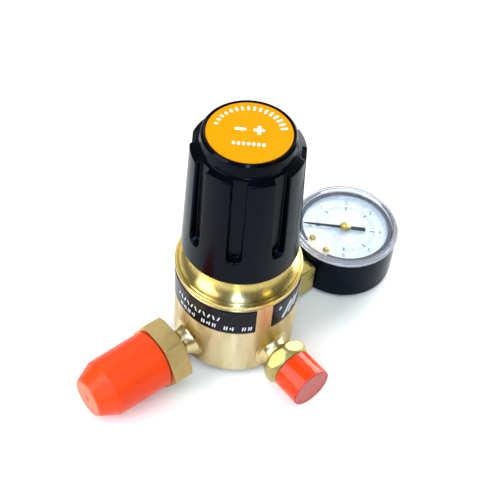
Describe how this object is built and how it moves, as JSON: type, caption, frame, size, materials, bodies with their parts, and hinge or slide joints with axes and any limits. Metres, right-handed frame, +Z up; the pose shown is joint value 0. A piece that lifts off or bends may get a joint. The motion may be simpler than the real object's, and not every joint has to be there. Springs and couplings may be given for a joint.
{
  "type": "gas regulator",
  "caption": "Brass gas pressure regulator with a tall fluted adjusting knob, capped inlet nut and outlet, and a side-mounted round pressure gauge.",
  "frame": {"origin": "centre of the brass body's round base face", "axes": "+Z up along the knob's axis, +X from the body to the pressure gauge, -X to the inlet, -Y to the outlet"},
  "size_m": [0.1645, 0.0776, 0.1186],
  "materials": {
    "brass": "satin, lightly mottled",
    "polished_brass": "polished",
    "steel": "bright zinc",
    "black_plastic": "semi-gloss",
    "black_paint": "gloss",
    "black_label": "gloss film",
    "orange_pvc": "soft gloss",
    "orange_label": "satin film",
    "rubber": "matt",
    "clear_plastic": "clear, glossy",
    "white_dial": "satin",
    "sintered_bronze": "rough, porous"
  },
  "bodies": {
    "regulator_body": {"body": "brass", "nozzle_seat": "brass", "valve_spring": "steel", "diaphragm": "rubber", "slip_ring": "brass", "bonnet": "polished_brass", "adjusting_spring": "steel", "body_label_left": "black_label", "body_label_right": "black_label", "inlet_stem": "brass", "inlet_filter": "sintered_bronze", "nose_seal_ring": "rubber", "outlet_washer": "brass", "outlet_fitting": "brass", "gauge_socket": "brass", "gauge_case": "black_paint", "gauge_lens": "clear_plastic", "lens_snap_ring": "black_paint", "gauge_dial": "white_dial", "dial_screw_left": "brass", "dial_screw_right": "brass", "movement_plate_bottom": "brass", "movement_plate_top": "brass", "sector_pin": "steel", "movement_pillar_left": "brass", "movement_pillar_right": "brass", "bourdon_tube": "brass", "bourdon_link": "steel"},
    "valve": {"valve_poppet": "brass", "valve_pad": "rubber", "diaphragm_plate": "steel"},
    "spring_button": {"spring_button": "steel"},
    "knob": {"knob": "black_plastic", "knob_screw": "steel", "knob_label": "orange_label", "adjusting_screw": "steel"},
    "inlet_nut": {"inlet_nut": "brass"},
    "inlet_cap": {"inlet_cap": "orange_pvc"},
    "outlet_cap": {"outlet_cap": "orange_pvc"},
    "pointer": {"pointer": "black_paint", "pointer_hub": "brass", "pointer_pinion": "brass"},
    "sector_gear": {"sector_gear": "brass"}
  },
  "joints": [
    {"name": "screw_travel", "type": "slide", "parent": "regulator_body", "child": "spring_button", "axis": [0, 0, 1], "range_m": [-0.00675, 0], "deforming": ["adjusting_spring"]},
    {"name": "knob_turn", "type": "hinge", "parent": "spring_button", "child": "knob", "pos_m": [0, 0, 0.08], "axis": [0, 0, 1], "range_deg": [-1620, 0]},
    {"name": "valve_opening", "type": "slide", "parent": "regulator_body", "child": "valve", "axis": [0, 0, 1], "range_m": [-0.0008, 0], "stiffness_N_per_m": 800, "springref_m": 0.001, "deforming": ["diaphragm", "valve_spring"]},
    {"name": "inlet_nut_turn", "type": "hinge", "parent": "regulator_body", "child": "inlet_nut", "pos_m": [-0.04, 0, 0.0085], "axis": [-1, 0, 0], "continuous": true},
    {"name": "inlet_cap_off", "type": "slide", "parent": "inlet_nut", "child": "inlet_cap", "axis": [-1, 0, 0], "range_m": [0, 0.024]},
    {"name": "outlet_cap_off", "type": "slide", "parent": "regulator_body", "child": "outlet_cap", "axis": [0, -1, 0], "range_m": [0, 0.015]},
    {"name": "sector_swing", "type": "hinge", "parent": "regulator_body", "child": "sector_gear", "pos_m": [0.06, -0.01099, 0.0105], "axis": [0, 0, 1], "range_deg": [0, 49], "stiffness_Nm_per_rad": 0.0002},
    {"name": "pointer_sweep", "type": "hinge", "parent": "regulator_body", "child": "pointer", "pos_m": [0.064, 0, 0.02], "axis": [0, 0, -1], "range_deg": [0, 270]}
  ],
  "couplings": [
    {"joint": "knob_turn", "follows": "screw_travel", "rad_per_m": 4188.8},
    {"joint": "pointer_sweep", "follows": "sector_swing", "ratio": 5.5}
  ]
}
